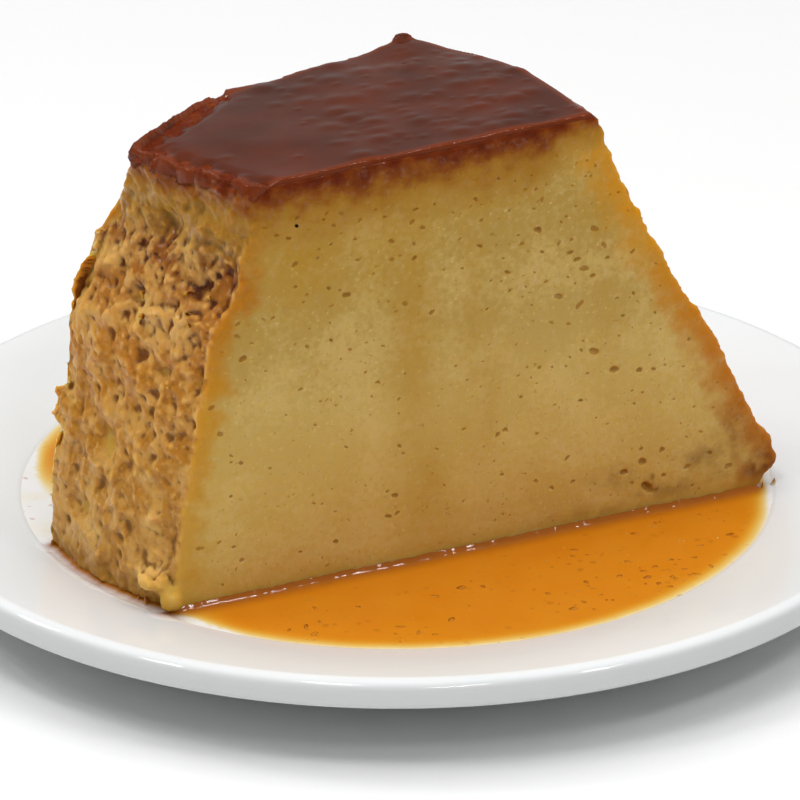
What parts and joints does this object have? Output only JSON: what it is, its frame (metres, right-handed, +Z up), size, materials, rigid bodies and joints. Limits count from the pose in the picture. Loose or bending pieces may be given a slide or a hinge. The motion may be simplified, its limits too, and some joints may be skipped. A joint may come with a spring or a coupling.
{
  "type": "creme caramel flan",
  "caption": "Tall slice of creme caramel with a dark caramel top, standing in a pool of amber sauce on a small round white plate.",
  "frame": {"origin": "on the plate's axis, at the bottom of its foot ring", "axes": "+Z up; the slice's front cut faces -Y, its rough side faces -X"},
  "size_m": [0.16, 0.16, 0.0788],
  "materials": {
    "plate": "smooth white glaze",
    "caramel_sauce": "clear amber syrup",
    "custard": "moist, finely pitted baked custard",
    "caramel_top": "glossy dark caramel"
  },
  "bodies": {
    "root": {"plate": "plate", "caramel_sauce": "caramel_sauce", "custard": "custard", "caramel_top": "caramel_top"}
  },
  "joints": []
}
